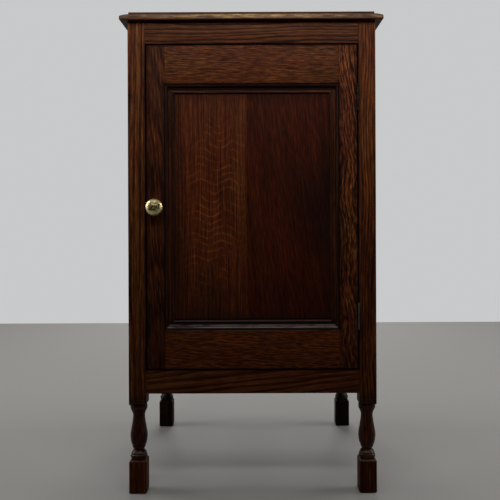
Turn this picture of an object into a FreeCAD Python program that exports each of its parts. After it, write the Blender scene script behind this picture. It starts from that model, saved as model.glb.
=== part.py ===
import FreeCAD, Part
import os
import re
import Sketcher

# A free-standing oak record cabinet: four posts on turned legs, framed sides, one panelled door on the front.
# The frame is +Z up and the front faces -Y. The origin is on the floor, in the middle of the overall box.

DIVIDERS_PER_TIER = 5
KNUCKLES_PER_HINGE = 5
SCREWS_PER_LEAF = 3
BACK_SCREWS_PER_EDGE = 3

# Driving dimensions in millimetres
SIZES = {
    # Carcass
    "carcass_width": 457.2,
    "carcass_depth": 406.4,
    "cabinet_height": 889,
    "post_size": 32,
    "rail_thickness": 22,
    "bottom_rail_level": 185,
    "bottom_rail_height": 43,
    "top_rail_height": 41.5,
    "tenon_web": 3,
    "tenon_thickness": 8,
    "tenon_shoulder": 5,
    "joint_clearance": 0.1,
    # Top board and its moulded edge
    "top_thickness": 17.5,
    "top_overhang": 13,
    "arris_round": 1.4,
    "nose_height": 4.5,
    "nose_setback": 1.4,
    "nose_bulge": 0.42,
    "bevel_foot": 8,
    "bevel_head": 14.3,
    "bevel_width": 14.5,
    "bevel_bulge": 0.5,
    # Block foot and the end of the square post
    "foot_height": 58.5,
    "foot_chamfer": 3,
    "foot_bevel": 2,
    "post_chamfer": 3.5,
    # Turned leg, from the foot up: the height, upper radius and bulge of each element
    "leg_seat_radius": 14.2,
    "ring_height": 8.4,
    "ring_radius": 14.9,
    "ring_bulge": 1,
    "ledge_height": 0.6,
    "ledge_radius": 14.3,
    "cushion_height": 7.1,
    "cushion_radius": 10,
    "cushion_bulge": 1,
    "throat_height": 1.6,
    "throat_radius": 10,
    "rise_height": 4,
    "rise_radius": 12,
    "rise_bulge": -0.3,
    "cuff_height": 4.1,
    "cuff_radius": 12.4,
    "cuff_bulge": 0.2,
    "step_height": 0.5,
    "step_radius": 13.1,
    "shoulder_height": 9,
    "shoulder_radius": 15.4,
    "shoulder_bulge": 0.4,
    "belly_height": 16.2,
    "belly_radius": 15.2,
    "belly_bulge": 0.65,
    "neck_height": 26,
    "neck_radius": 11,
    "neck_bulge": -0.3,
    "waist_height": 4,
    "waist_radius": 11,
    "cove_height": 11,
    "cove_radius": 15.3,
    "cove_bulge": -0.5,
    "collar_height": 7.5,
    "collar_radius": 15.3,
    "collar_bulge": 0.55,
    # Side and back panels
    "panel_thickness": 6,
    "panel_setback": 8,
    "groove_depth": 6,
    "back_thickness": 6,
    "back_rebate": 8,
    # Boards and partitions inside
    "bottom_thickness": 12,
    "board_rebate": 6,
    "lining_thickness": 8,
    "lining_level": 4,
    "shelf_thickness": 12,
    "latch_room": 1.2,
    "lower_tier_height": 325,
    "bearer_height": 14,
    "bearer_shoulder": 2.5,
    "bearer_gap": 0.5,
    "divider_thickness": 4,
    "divider_groove": 3,
    "divider_setback": 4,
    # Glue blocks and door stop
    "block_side": 18,
    "block_length": 40,
    "block_spread": 110,
    "stop_width": 8,
    "stop_gap": 0.3,
    # Door
    "door_gap": 2,
    "door_thickness": 20,
    "stile_width": 34,
    "door_top_rail_height": 72,
    "door_bottom_rail_height": 73,
    "door_tenon_length": 22,
    "door_tenon_thickness": 7,
    "door_tenon_shoulder": 10,
    "door_panel_thickness": 7,
    "door_panel_recess": 8,
    "door_groove_depth": 8,
    "panel_joint_offset": -9.5,
    # Planted moulding round the door panel, across from the frame to the panel
    "moulding_height": 7,
    "fillet_width": 2.8,
    "fillet_fall": 0.9,
    "ovolo_step": 0.5,
    "ovolo_width": 3.6,
    "ovolo_drop": 4.4,
    "ovolo_bulge": 0.4,
    "quirk_width": 5.2,
    "bead_width": 4.9,
    "bead_rise": 1.8,
    "bead_edge": 1,
    # Butt hinges
    "hinge_length": 50,
    "hinge_inset": 97.5,
    "knuckle_diameter": 5.5,
    "knuckle_gap": 0.3,
    "knuckle_play": 0.2,
    "pin_diameter": 2.6,
    "pin_clearance": 0.05,
    "leaf_thickness": 1.2,
    "leaf_width": 14,
    "leaf_play": 0.4,
    "leaf_clearance": 0.1,
    "leaf_screw_margin": 7,
    # Countersunk screws
    "screw_head_radius": 2.6,
    "screw_head_depth": 1.2,
    "screw_radius": 1.4,
    "screw_length": 13,
    "screw_slot_width": 0.6,
    "screw_slot_depth": 0.6,
    "screw_clearance": 0.1,
    # Knob and latch
    "knob_projection": 28,
    "knob_radius": 15.5,
    "knob_rim": 3.6,
    "knob_rim_round": 0.9,
    "knob_dome": 7.5,
    "knob_head_bulge": -1.2,
    "knob_foot_radius": 9,
    "knob_foot_height": 2.2,
    "knob_neck_radius": 6.4,
    "knob_neck_height": 6,
    "knob_neck_bulge": -0.7,
    "knob_gap": 0.3,
    "knob_bore_depth": 14,
    "spindle_radius": 3,
    "spindle_clearance": 0.1,
    "fit_clearance": 0.05,
    "collar_tube_radius": 5.5,
    "latch_gap": 0.3,
    "tongue_width": 11,
    "tongue_catch": 11,
    "tongue_thickness": 3,
    "nut_width": 10,
    "nut_thickness": 4,
    "spindle_end": 1.5,
}

# Turned elements of a leg in order, each with its own sizes above; a straight element has no bulge
TURNED_ELEMENTS = (
    "ring",
    "ledge",
    "cushion",
    "throat",
    "rise",
    "cuff",
    "step",
    "shoulder",
    "belly",
    "neck",
    "waist",
    "cove",
    "collar",
)
STRAIGHT_ELEMENTS = ("ledge", "throat", "step", "waist")

# Places that follow from the driving dimensions
PLACES = {
    "front": "(knob_projection - carcass_depth) / 2",
    "back": "front + carcass_depth",
    "side": "carcass_width / 2",
    "inner": "side - post_size",
    "underside": "cabinet_height - top_thickness",
    "tenon_length": "post_size - (rail_thickness + tenon_thickness) / 2 - tenon_web",
    "arris_middle": "(1 - sqrt(0.5)) * arris_round",
    "opening_bottom": "bottom_rail_level + bottom_rail_height",
    "opening_top": "underside - top_rail_height",
    "leg_base": "foot_height + foot_chamfer",
    "leg_top": "leg_base + " + " + ".join(f"{element}_height" for element in TURNED_ELEMENTS),
    "post_bottom": "leg_top + post_chamfer",
    "rear_rail_back": "back - back_thickness",
    "panel_inside": "side - panel_setback - panel_thickness",
    "lining_bottom": "opening_top + lining_level",
    "shelf_bottom": "opening_bottom + lower_tier_height",
    "shelf_top": "shelf_bottom + shelf_thickness",
    "door_left": "-inner + door_gap",
    "door_right": "inner - door_gap",
    "door_bottom": "opening_bottom + door_gap",
    "door_top": "opening_top - door_gap",
    "door_back": "front + door_thickness",
    "sight_left": "door_left + stile_width",
    "sight_right": "door_right - stile_width",
    "sight_bottom": "door_bottom + door_bottom_rail_height",
    "sight_top": "door_top - door_top_rail_height",
    "door_panel_front": "front + door_panel_recess",
    "moulding_width": "fillet_width + ovolo_width + quirk_width + bead_width",
    "hinge_x": "inner - door_gap / 2",
    "hinge_y": "front - knuckle_gap - knuckle_diameter / 2",
    "knuckle_length": f"hinge_length / {KNUCKLES_PER_HINGE}",
    "leaf_screw_spacing": f"(hinge_length - 2 * leaf_screw_margin) / {SCREWS_PER_LEAF - 1}",
    "knob_x": "door_left + stile_width / 2",
    "knob_z": "(door_bottom + door_top) / 2",
    "knob_face_radius": "knob_radius - knob_rim_round",
    "knob_dome_radius": "(knob_face_radius * knob_face_radius + knob_dome * knob_dome) / (2 * knob_dome)",
    "tongue_length": "door_gap + stile_width / 2 + tongue_catch",
    "tongue_front": "front + post_size + latch_gap",
    "tongue_back": "tongue_front + tongue_thickness",
    "nut_back": "tongue_back + nut_thickness",
    "spindle_back": "nut_back + spindle_end",
    "shelf_front": "spindle_back + latch_room",
}

ALONG = {
    "+x": FreeCAD.Rotation(FreeCAD.Vector(0, 1, 0), 90),
    "-x": FreeCAD.Rotation(FreeCAD.Vector(0, 1, 0), -90),
    "+y": FreeCAD.Rotation(FreeCAD.Vector(1, 0, 0), -90),
    "-y": FreeCAD.Rotation(FreeCAD.Vector(1, 0, 0), 90),
    "+z": FreeCAD.Rotation(),
}

doc = FreeCAD.newDocument("record_cabinet")
sheet = doc.addObject("Spreadsheet::Sheet", "Sizes")
for row, (alias, value) in enumerate(SIZES.items(), start=1):
    sheet.set(f"A{row}", alias)
    sheet.set(f"B{row}", str(value))
    sheet.setAlias(f"B{row}", alias)
doc.recompute()

# Each node's solid before its joints are cut, the shapes to cut from it, and how many solids it holds
blanks = {}
cuts = {}
solid_counts = {}


def formula(text):
    """An expression on the sheet's cells, with each named place written out."""
    def written_out(match):
        name = match.group(0)
        if name in PLACES:
            return f"({formula(PLACES[name])})"
        return f"Sizes.{name}" if name in SIZES else name

    return re.sub(r"[a-z][a-z_]*", written_out, text)


def amount(text):
    """The number that an expression comes to now."""
    return float(sheet.evalExpression(formula(text)))


def middle(span):
    low, high = span
    return f"(({low}) + ({high})) / 2"


def widened(span, by):
    low, high = span
    return f"({low}) - ({by})", f"({high}) + ({by})"


def outward(sign, near, far):
    """A span at one side of the cabinet's middle plane, from its distances to that plane."""
    return (near, far) if sign > 0 else (f"-({far})", f"-({near})")


def placed(item, at):
    for axis, text in zip("xyz", at):
        item.setExpression(f"Placement.Base.{axis}", formula(text))
    return item


def box(name, x, y, z):
    item = doc.addObject("Part::Box", name)
    for size, (low, high) in zip(("Length", "Width", "Height"), (x, y, z)):
        item.setExpression(size, formula(f"({high}) - ({low})"))
    return placed(item, (x[0], y[0], z[0]))


def cylinder(name, direction, at, radius, length):
    item = doc.addObject("Part::Cylinder", name)
    item.Placement.Rotation = ALONG[direction]
    item.setExpression("Radius", formula(radius))
    item.setExpression("Height", formula(length))
    return placed(item, at)


def cone(name, direction, at, near_radius, far_radius, length):
    item = doc.addObject("Part::Cone", name)
    item.Placement.Rotation = ALONG[direction]
    item.setExpression("Radius1", formula(near_radius))
    item.setExpression("Radius2", formula(far_radius))
    item.setExpression("Height", formula(length))
    return placed(item, at)


def frustum(name, centre, z, half_below, half_above):
    """A square block whose sides lean in, standing on its own axis."""
    item = doc.addObject("Part::Wedge", name)
    item.Placement.Rotation = ALONG["-y"]
    for axis in "XZ":
        item.setExpression(f"{axis}min", formula(f"-({half_below})"))
        item.setExpression(f"{axis}max", formula(half_below))
        item.setExpression(f"{axis}2min", formula(f"-({half_above})"))
        item.setExpression(f"{axis}2max", formula(half_above))
    item.setExpression("Ymin", "0")
    item.setExpression("Ymax", formula(f"({z[1]}) - ({z[0]})"))
    return placed(item, (*centre, z[0]))


def fused(name, items):
    if len(items) == 1:
        return items[0]
    item = doc.addObject("Part::MultiFuse", name)
    item.Shapes = items
    return item


def common(name, first, second):
    item = doc.addObject("Part::MultiCommon", name)
    item.Shapes = [first, second]
    return item


def group(name, items):
    item = doc.addObject("Part::Compound", name)
    item.Links = items
    return item


def cut(name, base, tool):
    item = doc.addObject("Part::Cut", name)
    item.Base = base
    item.Tool = tool
    return item


def outline(body, plane_role, corners):
    """A closed outline on one of the body's planes. A corner is a pair of expressions, and the side that
    leads to a corner of four is an arc through its second pair."""
    plane = next(item for item in body.Origin.OriginFeatures if item.Role == plane_role)
    sketch = body.newObject("Sketcher::SketchObject", f"{body.Name}_outline")
    sketch.AttachmentSupport = [(plane, "")]
    sketch.MapMode = "FlatFace"

    def pin(element, end, across, up):
        for kind, axis, text in (("DistanceX", -2, across), ("DistanceY", -1, up)):
            if text == "0":
                sketch.addConstraint(Sketcher.Constraint("PointOnObject", element, end, axis))
            else:
                index = sketch.addConstraint(Sketcher.Constraint(kind, -1, 1, element, end, amount(text)))
                sketch.setExpression(f"Constraints[{index}]", formula(text))

    def point(across, up):
        return FreeCAD.Vector(amount(across), amount(up))

    ends = []
    for here, there in zip(corners, corners[1:] + corners[:1]):
        start = point(*here[:2])
        stop = point(*there[:2])
        if len(there) == 2:
            element = sketch.addGeometry(Part.LineSegment(start, stop), False)
            ends.append((element, 1, 2))
            continue
        through = point(*there[2:])
        clockwise = (through - start).cross(stop - through).z < 0
        arc = Part.Arc(stop, through, start) if clockwise else Part.Arc(start, through, stop)
        element = sketch.addGeometry(arc, False)
        ends.append((element, 2, 1) if clockwise else (element, 1, 2))
        mark = sketch.addGeometry(Part.Point(through), True)
        pin(mark, 1, *there[2:])
        sketch.addConstraint(Sketcher.Constraint("PointOnObject", mark, 1, element))
    for (element, start_end, _), (previous, _, stop_end), corner in zip(ends, ends[-1:] + ends[:-1], corners):
        sketch.addConstraint(Sketcher.Constraint("Coincident", previous, stop_end, element, start_end))
        pin(element, start_end, *corner[:2])
    return sketch


def prism(name, plane_role, corners, span, at):
    """An outline padded to both sides of its plane, which stands in the middle of the span."""
    body = doc.addObject("PartDesign::Body", name)
    sketch = outline(body, plane_role, corners)
    pad = body.newObject("PartDesign::Pad", f"{name}_pad")
    pad.Profile = sketch
    pad.SideType = "Symmetric"
    pad.setExpression("Length", formula(f"({span[1]}) - ({span[0]})"))
    return placed(body, at)


def turning(name, plane_role, corners, at):
    """An outline turned about its plane's upright axis."""
    body = doc.addObject("PartDesign::Body", name)
    sketch = outline(body, plane_role, corners)
    revolution = body.newObject("PartDesign::Revolution", f"{name}_revolution")
    revolution.Profile = sketch
    revolution.ReferenceAxis = (sketch, ["V_Axis"])
    revolution.Angle = 360
    return placed(body, at)


def blank(node, item, solids=1):
    blanks[node] = item
    cuts[node] = []
    solid_counts[node] = solids


def take_out(tool, *nodes):
    for node in nodes:
        cuts[node].append(tool)


def tenoned(node, along, ends, across, level, tenon, receivers):
    """A rail with a tenon on each end, and its mortises in the two pieces that it joins."""
    length, thickness, shoulder = tenon
    centre = middle(across)
    tongue = (
        widened(ends, length),
        (f"{centre} - {thickness} / 2", f"{centre} + {thickness} / 2"),
        (f"({level[0]}) + {shoulder}", f"({level[1]}) - {shoulder}"),
    )

    def turned_box(name, spans):
        length_span, across_span, level_span = spans
        x, y = (length_span, across_span) if along == "x" else (across_span, length_span)
        return box(name, x, y, level_span)

    rail = turned_box(f"{node}_rail", (ends, across, level))
    tenons = turned_box(f"{node}_tenons", tongue)
    blank(node, fused(f"{node}_blank", [rail, tenons]))
    mortise = turned_box(f"{node}_mortise", [widened(span, "joint_clearance") for span in tongue])
    take_out(mortise, *receivers)


def crossed_board(node, wide_x, narrow_x, wide_y, narrow_y, z, housings, housing_top):
    """A board notched at its corners for the posts, and its housing in the rails round it."""
    boxes = [box(f"{node}_wide", wide_x, narrow_y, z), box(f"{node}_long", narrow_x, wide_y, z)]
    blank(node, fused(f"{node}_blank", boxes))
    room_z = (f"({z[0]}) - joint_clearance", housing_top)
    room_wide = box(f"{node}_room_wide", widened(wide_x, "joint_clearance"), narrow_y, room_z)
    room_long = box(f"{node}_room_long", narrow_x, widened(wide_y, "joint_clearance"), room_z)
    take_out(fused(f"{node}_room", [room_wide, room_long]), *housings)


def top_board():
    """The top, moulded on the front and both ends and square at the back."""
    edge = (
        ("arris_round", "0"),
        ("0", "arris_round", "arris_middle", "arris_middle"),
        ("0", "nose_height"),
        ("nose_setback", "bevel_foot", "nose_setback / 2 - nose_bulge", "(nose_height + bevel_foot) / 2"),
        (
            "bevel_width",
            "bevel_head",
            "(nose_setback + bevel_width) / 2",
            "(bevel_foot + bevel_head) / 2 + bevel_bulge",
        ),
        ("bevel_width", "top_thickness"),
    )
    half = "side + top_overhang"
    nose = "front - top_overhang"

    def set_in(corner, start, sign):
        """An edge corner measured in from one end of the board."""
        return tuple(f"{start} {sign} ({text})" if i % 2 == 0 else text for i, text in enumerate(corner))

    left = [set_in(corner, f"-({half})", "+") for corner in edge]
    right = [set_in(corner, f"({half})", "-") for corner in mirrored_run(edge)]
    front = [set_in(corner, f"({nose})", "+") for corner in edge]
    depth = (nose, "back")
    ends = prism("top_ends", "XZ_Plane", left + right, depth, ("0", middle(depth), "underside"))
    rear = [("back", "top_thickness"), ("back", "0")]
    run = prism("top_run", "YZ_Plane", front + rear, (f"-({half})", half), ("0", "0", "underside"))
    blank("top_board", common("top_board_blank", ends, run))


def mirrored_run(corners):
    """The same outline run the other way: each arc keeps its middle and leads to its other end."""
    backwards = []
    for here, before in zip(corners[::-1], (None,) + corners[:0:-1]):
        through = before[2:] if before and len(before) == 4 else ()
        backwards.append(here[:2] + through)
    return backwards


def turned_leg(name, centre):
    """The turned length between the block foot and the square post."""
    corners = [("0", "0"), ("leg_seat_radius", "0")]
    radius = "leg_seat_radius"
    level = "0"
    for element in TURNED_ELEMENTS:
        upper_radius = f"{element}_radius"
        upper_level = f"{level} + {element}_height"
        corner = (upper_radius, upper_level)
        if element not in STRAIGHT_ELEMENTS:
            bulged_radius = f"({radius} + {upper_radius}) / 2 + {element}_bulge"
            corner += (bulged_radius, f"{level} + {element}_height / 2")
        corners.append(corner)
        radius = upper_radius
        level = upper_level
    corners.append(("0", level))
    return turning(name, "XZ_Plane", corners, (*centre, "leg_base"))


def post(node, x, y):
    """A corner post: block foot, turned leg and square upper length in one piece of wood."""
    centre = (middle(x), middle(y))
    half = "post_size / 2"
    upper = box(f"{node}_upper", x, y, ("post_bottom", "underside"))
    upper_end = frustum(f"{node}_end", centre, ("leg_top", "post_bottom"), f"{half} - post_chamfer", half)
    leg = turned_leg(f"{node}_leg", centre)
    foot_slope = ("foot_height", "leg_base")
    foot_top = frustum(f"{node}_foot_top", centre, foot_slope, half, f"{half} - foot_chamfer")
    foot = box(f"{node}_foot", x, y, ("foot_bevel", "foot_height"))
    foot_end = frustum(f"{node}_foot_end", centre, ("0", "foot_bevel"), f"{half} - foot_bevel", half)
    blank(node, fused(f"{node}_blank", [upper, upper_end, leg, foot_top, foot, foot_end]))


def carcass_frame():
    """Posts, rails and the panels in their grooves."""
    tenon = ("tenon_length", "tenon_thickness", "tenon_shoulder")
    bottom_level = ("bottom_rail_level", "opening_bottom")
    top_level = ("opening_top", "underside")
    levels = {"bottom": bottom_level, "top": top_level}
    post_y = {"front": ("front", "front + post_size"), "rear": ("back - post_size", "back")}
    signs = {"left": -1, "right": 1}
    for end, y in post_y.items():
        for hand, sign in signs.items():
            post(f"{end}_{hand}_post", outward(sign, "inner", "side"), y)
    rail_y = {
        "front": ("front", "front + rail_thickness"),
        "rear": ("rear_rail_back - rail_thickness", "rear_rail_back"),
    }
    for end, y in rail_y.items():
        for name, level in levels.items():
            receivers = [f"{end}_{hand}_post" for hand in signs]
            tenoned(f"{end}_{name}_rail", "x", ("-(inner)", "inner"), y, level, tenon, receivers)
    between_posts = ("front + post_size", "back - post_size")
    for hand, sign in signs.items():
        posts = [f"{end}_{hand}_post" for end in post_y]
        for name, level in levels.items():
            x = outward(sign, "side - rail_thickness", "side")
            tenoned(f"{hand}_{name}_rail", "y", between_posts, x, level, tenon, posts)
        panel = (
            outward(sign, "panel_inside", "side - panel_setback"),
            widened(between_posts, "groove_depth"),
            widened(("opening_bottom", "opening_top"), "groove_depth"),
        )
        blank(f"{hand}_side_panel", box(f"{hand}_panel_blank", *panel))
        groove = box(f"{hand}_panel_groove", *[widened(span, "joint_clearance") for span in panel])
        take_out(groove, *posts, f"{hand}_bottom_rail", f"{hand}_top_rail")
        bearer_x = outward(sign, "inner", "panel_inside - bearer_gap")
        bearer_level = ("shelf_bottom - bearer_height", "shelf_bottom")
        bearer_tenon = ("tenon_length", "tenon_thickness", "bearer_shoulder")
        tenoned(f"{hand}_shelf_bearer", "y", between_posts, bearer_x, bearer_level, bearer_tenon, posts)


def back_panel():
    """The back, in rebates in the rear posts and over the rear rails, with its screws."""
    x = ("-(inner + back_rebate)", "inner + back_rebate")
    y = ("rear_rail_back", "back")
    z = ("bottom_rail_level", "underside")
    blank("back_panel", box("back_panel_blank", x, y, z))
    rebate = box("back_rebate_room", widened(x, "joint_clearance"), y, widened(z, "joint_clearance"))
    take_out(rebate, "rear_left_post", "rear_right_post")
    screws = []
    for index in range(BACK_SCREWS_PER_EDGE):
        share = f"{index + 0.5} / {BACK_SCREWS_PER_EDGE}"
        height = f"opening_bottom + (opening_top - opening_bottom) * {share}"
        across = f"-(inner) + 2 * inner * {share}"
        sites = {
            "rear_left_post": ("-(inner + back_rebate / 2)", height),
            "rear_right_post": ("inner + back_rebate / 2", height),
            "rear_bottom_rail": (across, "bottom_rail_level + bottom_rail_height / 2"),
            "rear_top_rail": (across, "underside - top_rail_height / 2"),
        }
        for node, (at_x, at_z) in sites.items():
            name = f"back_screw_{node}_{index}"
            screws.append(screw(name, "-y", (at_x, "back", at_z), ("back_panel", node)))
    blank("back_panel_screws", group("back_panel_screws_group", screws), len(screws))


def screw(name, direction, at, nodes):
    """A countersunk slotted screw whose head is flush at the given point, and its hole in the given nodes."""
    axis = direction[1]
    sign = direction[0]
    length_index = "xyz".index(axis)

    def profile(suffix, extra):
        head = cone(
            f"{name}_head{suffix}",
            direction,
            at,
            f"screw_head_radius + {extra}",
            f"screw_radius + {extra}",
            "screw_head_depth",
        )
        shank_radius = f"screw_radius + {extra}"
        shank = cylinder(f"{name}_shank{suffix}", direction, at, shank_radius, f"screw_length + {extra}")
        return fused(f"{name}_body{suffix}", [head, shank])

    take_out(profile("_hole", "screw_clearance"), *nodes)
    depth = (at[length_index], f"({at[length_index]}) {sign} screw_slot_depth")
    slot = [widened((place, place), "screw_head_radius") for place in at]
    slot[2] = widened((at[2], at[2]), "screw_slot_width / 2")
    slot[length_index] = depth if sign == "+" else depth[::-1]
    return cut(name, profile("", "0"), box(f"{name}_slot", *slot))


def boards():
    """The bottom board in a rebate, the inner top in a groove and the record shelf on its bearers."""
    between_posts_x = ("-(inner - joint_clearance)", "inner - joint_clearance")
    between_posts_y = ("front + post_size + joint_clearance", "back - post_size - joint_clearance")
    rails = ["front", "rear", "left", "right"]

    def housed(depth):
        """How far a board reaches into the rails, across and along the cabinet."""
        x = (f"-(side - rail_thickness + {depth})", f"side - rail_thickness + {depth}")
        y = (f"front + rail_thickness - {depth}", f"rear_rail_back - rail_thickness + {depth}")
        return x, y

    x, y = housed("board_rebate")
    z = ("opening_bottom - bottom_thickness", "opening_bottom")
    bottom_rails = [f"{rail}_bottom_rail" for rail in rails]
    crossed_board("bottom_board", x, between_posts_x, y, between_posts_y, z, bottom_rails, "opening_bottom")
    x, y = housed("groove_depth")
    z = ("lining_bottom", "lining_bottom + lining_thickness")
    top_rails = [f"{rail}_top_rail" for rail in rails]
    groove_top = "lining_bottom + lining_thickness + joint_clearance"
    crossed_board("inner_top", x, between_posts_x, y, between_posts_y, z, top_rails, groove_top)
    shelf_x = ("-(panel_inside - bearer_gap)", "panel_inside - bearer_gap")
    shelf_z = ("shelf_bottom", "shelf_top")
    wide = box("shelf_wide", shelf_x, ("shelf_front", between_posts_y[1]), shelf_z)
    tail = box("shelf_tail", between_posts_x, ("shelf_front", "rear_rail_back - joint_clearance"), shelf_z)
    blank("record_shelf", fused("record_shelf_blank", [wide, tail]))


def dividers():
    """Thin upright partitions in grooves above and below the shelf, so that records stand in slots."""
    tiers = {
        "lower": ("opening_bottom", "shelf_bottom", "bottom_board", "record_shelf"),
        "upper": ("shelf_top", "lining_bottom", "record_shelf", "inner_top"),
    }
    y = ("shelf_front + divider_setback", "rear_rail_back - rail_thickness")
    for tier, (floor, ceiling, board_below, board_above) in tiers.items():
        for index in range(1, DIVIDERS_PER_TIER + 1):
            node = f"{tier}_divider_{index}"
            centre = f"-(inner) + 2 * inner * {index} / {DIVIDERS_PER_TIER + 1}"
            x = widened((centre, centre), "divider_thickness / 2")
            z = widened((floor, ceiling), "divider_groove - joint_clearance")
            blank(node, box(f"{node}_blank", x, y, z))
            room_z = widened((floor, ceiling), "divider_groove")
            room_x = widened(x, "joint_clearance")
            groove = box(f"{node}_groove", room_x, widened(y, "joint_clearance"), room_z)
            take_out(groove, board_below, board_above)


def glue_blocks():
    """Blocks in the corner between the top rails and the top."""
    z = ("underside - block_side", "underside")
    along = [widened((place, place), "block_length / 2") for place in ("-(block_spread)", "block_spread")]
    depth_middle = middle(("front", "rear_rail_back"))
    front_y = ("front + rail_thickness", "front + rail_thickness + block_side")
    rear_y = ("rear_rail_back - rail_thickness - block_side", "rear_rail_back - rail_thickness")
    side_near = "side - rail_thickness - block_side"
    blocks = []
    for low, high in along:
        sign = 1 if amount(low) > 0 else -1
        hand = "right" if sign > 0 else "left"
        blocks.append(box(f"front_block_{hand}", (low, high), front_y, z))
        blocks.append(box(f"rear_block_{hand}", (low, high), rear_y, z))
        side_x = outward(sign, side_near, "side - rail_thickness")
        for end, shift in (("front", "-"), ("rear", "+")):
            place = f"{depth_middle} {shift} block_spread"
            blocks.append(box(f"{hand}_block_{end}", side_x, widened((place, place), "block_length / 2"), z))
    blank("top_glue_blocks", group("top_glue_blocks_group", blocks), len(blocks))


def door_stop():
    """A strip on the left post behind the door's closing stile."""
    x = ("-(inner)", "-(inner) + stop_width")
    y = ("door_back + stop_gap", "front + post_size")
    blank("door_stop", box("door_stop_blank", x, y, ("opening_bottom", "opening_top")))


def door_frame():
    """Stiles, rails tenoned into them, and the two boards of the panel in their groove."""
    y = ("front", "door_back")
    z = ("door_bottom", "door_top")
    stiles = ["door_left_stile", "door_right_stile"]
    blank(stiles[0], box("door_left_stile_blank", ("door_left", "sight_left"), y, z))
    blank(stiles[1], box("door_right_stile_blank", ("sight_right", "door_right"), y, z))
    tenon = ("door_tenon_length", "door_tenon_thickness", "door_tenon_shoulder")
    between_stiles = ("sight_left", "sight_right")
    tenoned("door_top_rail", "x", between_stiles, y, ("sight_top", "door_top"), tenon, stiles)
    tenoned("door_bottom_rail", "x", between_stiles, y, ("door_bottom", "sight_bottom"), tenon, stiles)
    panel_x = widened(between_stiles, "door_groove_depth")
    panel_y = ("door_panel_front", "door_panel_front + door_panel_thickness")
    panel_z = widened(("sight_bottom", "sight_top"), "door_groove_depth")
    left_x = (panel_x[0], "panel_joint_offset")
    right_x = ("panel_joint_offset", panel_x[1])
    blank("door_panel_left_board", box("door_panel_left_blank", left_x, panel_y, panel_z))
    blank("door_panel_right_board", box("door_panel_right_blank", right_x, panel_y, panel_z))
    room = [widened(span, "joint_clearance") for span in (panel_x, panel_y, panel_z)]
    take_out(box("door_panel_groove", *room), *stiles, "door_top_rail", "door_bottom_rail")


def moulding_profile():
    """Corners of the planted moulding: distance in from the frame, and height over the panel."""
    fillet_foot = "moulding_height - fillet_fall"
    ovolo_top = f"{fillet_foot} - ovolo_step"
    ovolo_foot = f"{ovolo_top} - ovolo_drop"
    ovolo_end = "fillet_width + ovolo_width"
    bead_start = f"{ovolo_end} + quirk_width"
    return [
        ("0", "0"),
        ("0", "moulding_height"),
        ("fillet_width", fillet_foot),
        ("fillet_width", ovolo_top),
        (
            ovolo_end,
            ovolo_foot,
            f"(fillet_width + {ovolo_end}) / 2 + ovolo_bulge / 2",
            f"({ovolo_top} + {ovolo_foot}) / 2 + ovolo_bulge",
        ),
        (bead_start, ovolo_foot),
        ("moulding_width", "bead_edge", f"{bead_start} + bead_width / 2", f"{ovolo_foot} + bead_rise"),
        ("moulding_width", "0"),
    ]


def door_moulding():
    """Four mitred lengths of moulding, on the panel and against the frame."""
    y_middle = "door_panel_front - moulding_height / 2"
    mitre_span = ("0", "moulding_height")

    def laid(edge, sign):
        """The profile with its distance measured in from an edge of the opening."""
        return [
            tuple(f"{edge} {sign} ({text})" if i % 2 == 0 else f"-({text})" for i, text in enumerate(corner))
            for corner in moulding_profile()
        ]

    def flipped(corners):
        """Corners with height first, for a plane whose first axis is the depth."""
        return [tuple(text for i in range(0, len(c), 2) for text in (c[i + 1], c[i])) for c in corners]

    lengths = {
        "left": ("sight_left", "+"),
        "right": ("sight_right", "-"),
        "bottom": ("sight_bottom", "+"),
        "top": ("sight_top", "-"),
    }
    for place, (edge, sign) in lengths.items():
        inside = f"{edge} {sign} moulding_width"
        node = f"door_{place}_moulding"
        corners = laid(edge, sign)
        if place in ("left", "right"):
            run = ("sight_bottom", "sight_top")
            plan = [
                (edge, run[0]),
                (inside, f"{run[0]} + moulding_width"),
                (inside, f"{run[1]} - moulding_width"),
                (edge, run[1]),
            ]
            strip = prism(f"{node}_strip", "XY_Plane", corners, run, ("0", "door_panel_front", middle(run)))
        else:
            run = ("sight_left", "sight_right")
            plan = [
                (run[0], edge),
                (run[1], edge),
                (f"{run[1]} - moulding_width", inside),
                (f"{run[0]} + moulding_width", inside),
            ]
            depth_first = flipped(corners)
            at = (middle(run), "door_panel_front", "0")
            strip = prism(f"{node}_strip", "YZ_Plane", depth_first, run, at)
        mitre = prism(f"{node}_mitre", "XZ_Plane", plan, mitre_span, ("0", y_middle, "0"))
        blank(node, common(f"{node}_blank", strip, mitre))


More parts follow.
